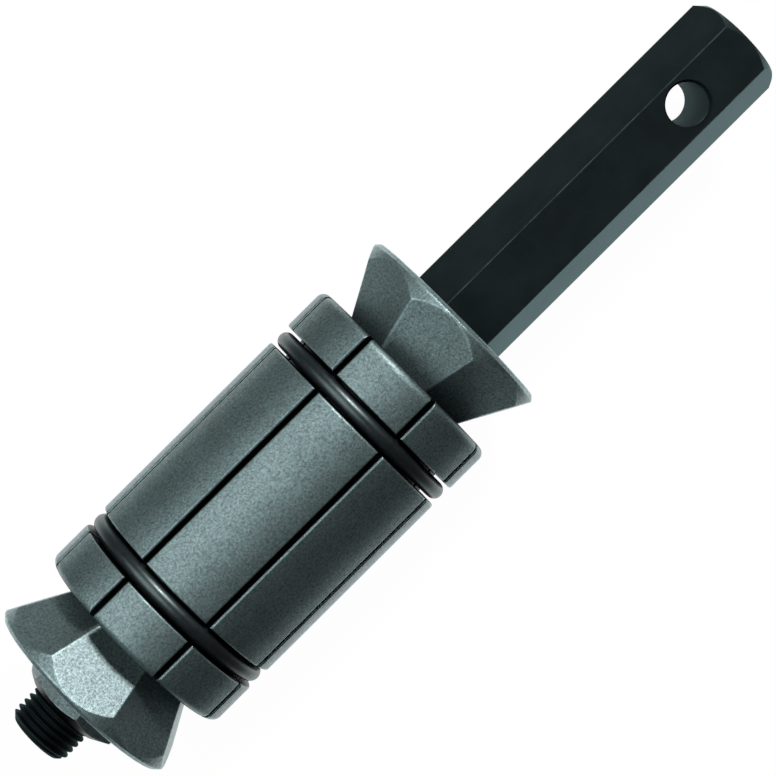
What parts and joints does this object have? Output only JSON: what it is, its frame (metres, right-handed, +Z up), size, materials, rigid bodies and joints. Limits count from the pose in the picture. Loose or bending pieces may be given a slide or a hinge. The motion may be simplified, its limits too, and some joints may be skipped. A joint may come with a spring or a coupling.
{
  "type": "exhaust pipe expander",
  "caption": "Hand tool that widens pipe ends: drive hexagon with cross hole, threaded spindle, two faceted wedges and ring-bound expanding jaws.",
  "frame": {"origin": "on the tool's axis, half-way along the jaws, with the jaws closed", "axes": "+X along the axis from the drive hexagon to the threaded nose, +Z up, away from the surface that the closed tool lies on"},
  "size_m": [0.1676, 0.0388, 0.0388],
  "materials": {
    "black_steel": "satin black oxide",
    "wedge_steel": "fine grained satin steel with a grey-green tint",
    "jaw_steel": "fine grained satin steel with a grey-green tint",
    "nut_steel": "satin steel",
    "washer_steel": "plain steel",
    "ring_rubber": "smooth glossy black rubber"
  },
  "bodies": {
    "rear_wedge": {"rear_wedge": "wedge_steel", "thrust_washer": "washer_steel"},
    "spindle": {"spindle": "black_steel"},
    "front_wedge": {"front_wedge": "wedge_steel", "captive_nut": "nut_steel"},
    "rings": {"o_ring_front": "ring_rubber", "o_ring_rear": "ring_rubber"},
    "jaw_1": {"jaw_1": "jaw_steel"},
    "jaw_2": {"jaw_2": "jaw_steel"},
    "jaw_3": {"jaw_3": "jaw_steel"},
    "jaw_4": {"jaw_4": "jaw_steel"},
    "jaw_5": {"jaw_5": "jaw_steel"},
    "jaw_6": {"jaw_6": "jaw_steel"},
    "jaw_7": {"jaw_7": "jaw_steel"},
    "jaw_8": {"jaw_8": "jaw_steel"}
  },
  "joints": [
    {"name": "spindle_turn", "type": "hinge", "parent": "rear_wedge", "child": "spindle", "pos_m": [0, 0, 0], "axis": [1, 0, 0], "range_deg": [0, 5090]},
    {"name": "wedge_slide", "type": "slide", "parent": "rear_wedge", "child": "front_wedge", "axis": [-1, 0, 0], "range_m": [0, 0.01768]},
    {"name": "ring_slide", "type": "slide", "parent": "rear_wedge", "child": "rings", "axis": [-1, 0, 0], "range_m": [0, 0.00884], "deforming": ["o_ring_front", "o_ring_rear"]},
    {"name": "jaw_1_slide", "type": "slide", "parent": "rear_wedge", "child": "jaw_1", "axis": [-0.8788, -0.0142, 0.4769], "range_m": [0, 0.01006]},
    {"name": "jaw_2_slide", "type": "slide", "parent": "rear_wedge", "child": "jaw_2", "axis": [-0.8788, 0.3272, 0.3473], "range_m": [0, 0.01006]},
    {"name": "jaw_3_slide", "type": "slide", "parent": "rear_wedge", "child": "jaw_3", "axis": [-0.8788, 0.4769, 0.0142], "range_m": [0, 0.01006]},
    {"name": "jaw_4_slide", "type": "slide", "parent": "rear_wedge", "child": "jaw_4", "axis": [-0.8788, 0.3473, -0.3272], "range_m": [0, 0.01006]},
    {"name": "jaw_5_slide", "type": "slide", "parent": "rear_wedge", "child": "jaw_5", "axis": [-0.8788, 0.0142, -0.4769], "range_m": [0, 0.01006]},
    {"name": "jaw_6_slide", "type": "slide", "parent": "rear_wedge", "child": "jaw_6", "axis": [-0.8788, -0.3272, -0.3473], "range_m": [0, 0.01006]},
    {"name": "jaw_7_slide", "type": "slide", "parent": "rear_wedge", "child": "jaw_7", "axis": [-0.8788, -0.4769, -0.0142], "range_m": [0, 0.01006]},
    {"name": "jaw_8_slide", "type": "slide", "parent": "rear_wedge", "child": "jaw_8", "axis": [-0.8788, -0.3473, 0.3272], "range_m": [0, 0.01006]}
  ],
  "couplings": [
    {"joint": "wedge_slide", "follows": "spindle_turn", "m_per_rad": 0.00019894},
    {"joint": "ring_slide", "follows": "spindle_turn", "m_per_rad": 0.000099472},
    {"joint": "jaw_1_slide", "follows": "spindle_turn", "m_per_rad": 0.00011319},
    {"joint": "jaw_2_slide", "follows": "spindle_turn", "m_per_rad": 0.00011319},
    {"joint": "jaw_3_slide", "follows": "spindle_turn", "m_per_rad": 0.00011319},
    {"joint": "jaw_4_slide", "follows": "spindle_turn", "m_per_rad": 0.00011319},
    {"joint": "jaw_5_slide", "follows": "spindle_turn", "m_per_rad": 0.00011319},
    {"joint": "jaw_6_slide", "follows": "spindle_turn", "m_per_rad": 0.00011319},
    {"joint": "jaw_7_slide", "follows": "spindle_turn", "m_per_rad": 0.00011319},
    {"joint": "jaw_8_slide", "follows": "spindle_turn", "m_per_rad": 0.00011319}
  ]
}
